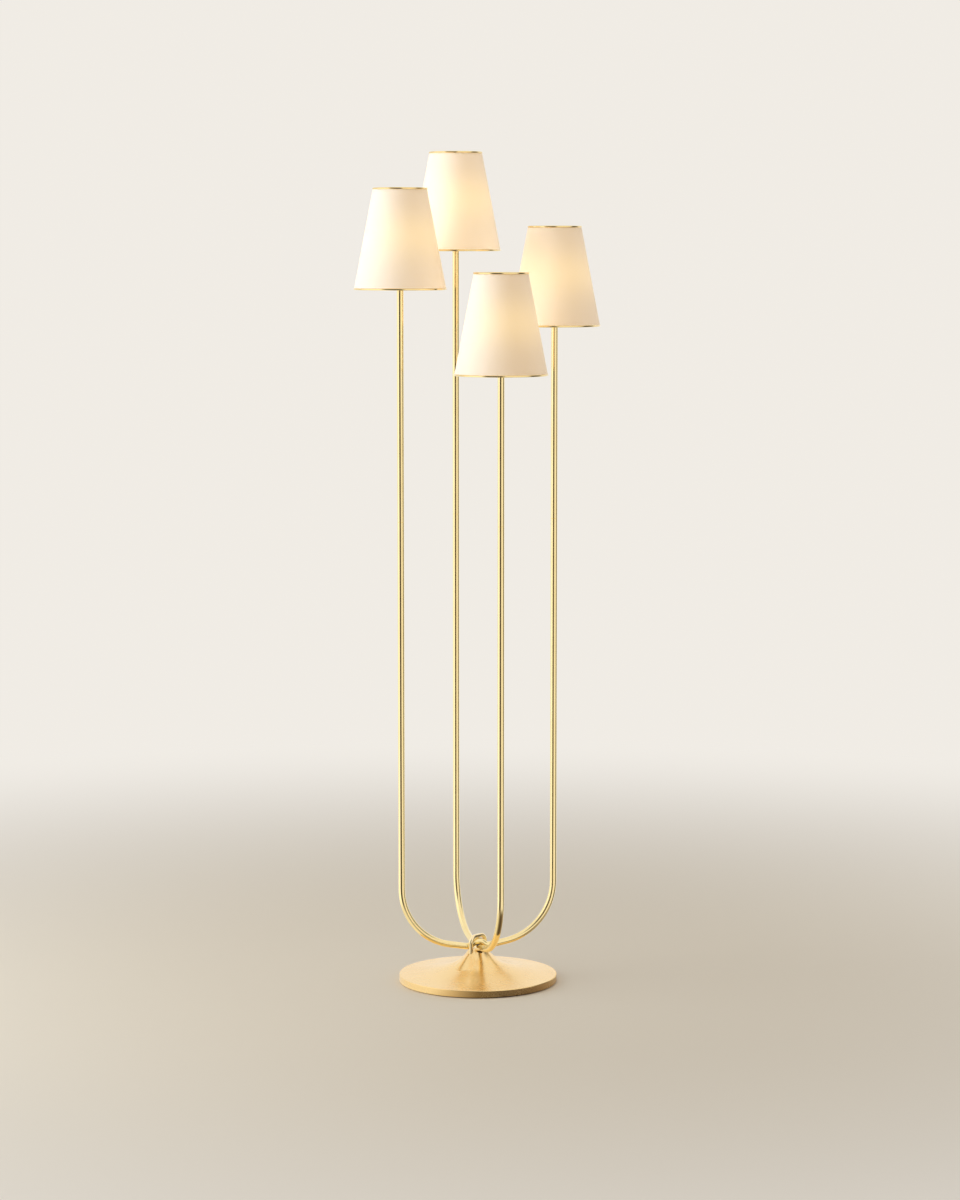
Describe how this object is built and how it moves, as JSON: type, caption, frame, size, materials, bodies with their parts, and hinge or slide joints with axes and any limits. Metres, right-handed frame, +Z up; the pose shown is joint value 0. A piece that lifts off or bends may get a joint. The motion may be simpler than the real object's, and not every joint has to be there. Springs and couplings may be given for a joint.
{
  "type": "tree floor lamp",
  "caption": "Floor lamp whose slim brass uprights bend into a knot on a round flared base, each under a tapered white fabric shade at its own height.",
  "frame": {"origin": "middle of the felt pad's lower face, on the floor", "axes": "+Z up; the left and right uprights stand on the X axis, the front and back uprights on the Y axis, with the lowest shade at -Y and the highest at +Y"},
  "size_m": [0.4782, 0.4782, 1.587],
  "materials": {
    "base_brass": "satin, fine round brushing",
    "bow_brass": "polished and lacquered",
    "post_brass": "polished and lacquered",
    "loop_brass": "polished and lacquered",
    "cup_brass": "polished",
    "trim_brass": "polished",
    "fitter_brass": "plated wire",
    "sleeve_brass": "pressed, plain",
    "inner_brass": "turned, plain",
    "weight_iron": "rough",
    "plate_steel": "zinc plated",
    "screw_steel": "zinc plated",
    "felt": "pressed felt",
    "bushing": "moulded",
    "terminal": "moulded",
    "lead_jacket": "extruded",
    "holder_phenolic": "moulded",
    "ring_phenolic": "moulded",
    "shade_fabric": "linen on a stiff lining",
    "bulb_glass": "frosted",
    "stem_glass": "clear",
    "cap_metal": "rolled"
  },
  "bodies": {
    "stand": {"base_casting": "base_brass", "base_weight": "weight_iron", "bottom_plate": "plate_steel", "felt_pad": "felt", "plate_screws": "screw_steel", "cord_bushing": "bushing", "terminal_block": "terminal", "knot_loop": "loop_brass", "loop_fasteners": "screw_steel", "bow_side": "bow_brass", "bow_cross": "bow_brass", "post_left": "post_brass", "post_right": "post_brass", "post_front": "post_brass", "post_back": "post_brass", "post_couplers": "inner_brass", "arm_leads": "lead_jacket", "holder_fixings": "inner_brass", "holder_sleeves": "sleeve_brass", "centre_contacts": "sleeve_brass", "holder_cup_left": "cup_brass", "holder_body_left": "holder_phenolic", "holder_cup_right": "cup_brass", "holder_body_right": "holder_phenolic", "holder_cup_front": "cup_brass", "holder_body_front": "holder_phenolic", "holder_cup_back": "cup_brass", "holder_body_back": "holder_phenolic"},
    "shade_left": {"shade_spider_left": "fitter_brass", "shade_cover_left": "shade_fabric", "shade_top_trim_left": "trim_brass", "shade_bottom_trim_left": "trim_brass"},
    "ring_left": {"retaining_ring_left": "ring_phenolic"},
    "bulb_left": {"bulb_glass_left": "bulb_glass", "bulb_cap_left": "cap_metal", "bulb_stem_left": "stem_glass"},
    "shade_right": {"shade_spider_right": "fitter_brass", "shade_cover_right": "shade_fabric", "shade_top_trim_right": "trim_brass", "shade_bottom_trim_right": "trim_brass"},
    "ring_right": {"retaining_ring_right": "ring_phenolic"},
    "bulb_right": {"bulb_glass_right": "bulb_glass", "bulb_cap_right": "cap_metal", "bulb_stem_right": "stem_glass"},
    "shade_front": {"shade_spider_front": "fitter_brass", "shade_cover_front": "shade_fabric", "shade_top_trim_front": "trim_brass", "shade_bottom_trim_front": "trim_brass"},
    "ring_front": {"retaining_ring_front": "ring_phenolic"},
    "bulb_front": {"bulb_glass_front": "bulb_glass", "bulb_cap_front": "cap_metal", "bulb_stem_front": "stem_glass"},
    "shade_back": {"shade_spider_back": "fitter_brass", "shade_cover_back": "shade_fabric", "shade_top_trim_back": "trim_brass", "shade_bottom_trim_back": "trim_brass"},
    "ring_back": {"retaining_ring_back": "ring_phenolic"},
    "bulb_back": {"bulb_glass_back": "bulb_glass", "bulb_cap_back": "cap_metal", "bulb_stem_back": "stem_glass"}
  },
  "joints": [
    {"name": "shade_left_turn", "type": "hinge", "parent": "stand", "child": "shade_left", "pos_m": [-0.1515, 0, 1.3685], "axis": [0, 0, 1], "continuous": true},
    {"name": "ring_left_turn", "type": "hinge", "parent": "stand", "child": "ring_left", "pos_m": [-0.1515, 0, 1.37], "axis": [0, 0, 1], "range_deg": [0, 1440]},
    {"name": "bulb_left_turn", "type": "hinge", "parent": "stand", "child": "bulb_left", "pos_m": [-0.1515, 0, 1.396], "axis": [0, 0, 1], "range_deg": [0, 1800]},
    {"name": "shade_right_turn", "type": "hinge", "parent": "stand", "child": "shade_right", "pos_m": [0.1515, 0, 1.2985], "axis": [0, 0, 1], "continuous": true},
    {"name": "ring_right_turn", "type": "hinge", "parent": "stand", "child": "ring_right", "pos_m": [0.1515, 0, 1.3], "axis": [0, 0, 1], "range_deg": [0, 1440]},
    {"name": "bulb_right_turn", "type": "hinge", "parent": "stand", "child": "bulb_right", "pos_m": [0.1515, 0, 1.326], "axis": [0, 0, 1], "range_deg": [0, 1800]},
    {"name": "shade_front_turn", "type": "hinge", "parent": "stand", "child": "shade_front", "pos_m": [0, -0.1515, 1.2125], "axis": [0, 0, 1], "continuous": true},
    {"name": "ring_front_turn", "type": "hinge", "parent": "stand", "child": "ring_front", "pos_m": [0, -0.1515, 1.214], "axis": [0, 0, 1], "range_deg": [0, 1440]},
    {"name": "bulb_front_turn", "type": "hinge", "parent": "stand", "child": "bulb_front", "pos_m": [0, -0.1515, 1.24], "axis": [0, 0, 1], "range_deg": [0, 1800]},
    {"name": "shade_back_turn", "type": "hinge", "parent": "stand", "child": "shade_back", "pos_m": [0, 0.1515, 1.4405], "axis": [0, 0, 1], "continuous": true},
    {"name": "ring_back_turn", "type": "hinge", "parent": "stand", "child": "ring_back", "pos_m": [0, 0.1515, 1.442], "axis": [0, 0, 1], "range_deg": [0, 1440]},
    {"name": "bulb_back_turn", "type": "hinge", "parent": "stand", "child": "bulb_back", "pos_m": [0, 0.1515, 1.468], "axis": [0, 0, 1], "range_deg": [0, 1800]}
  ]
}
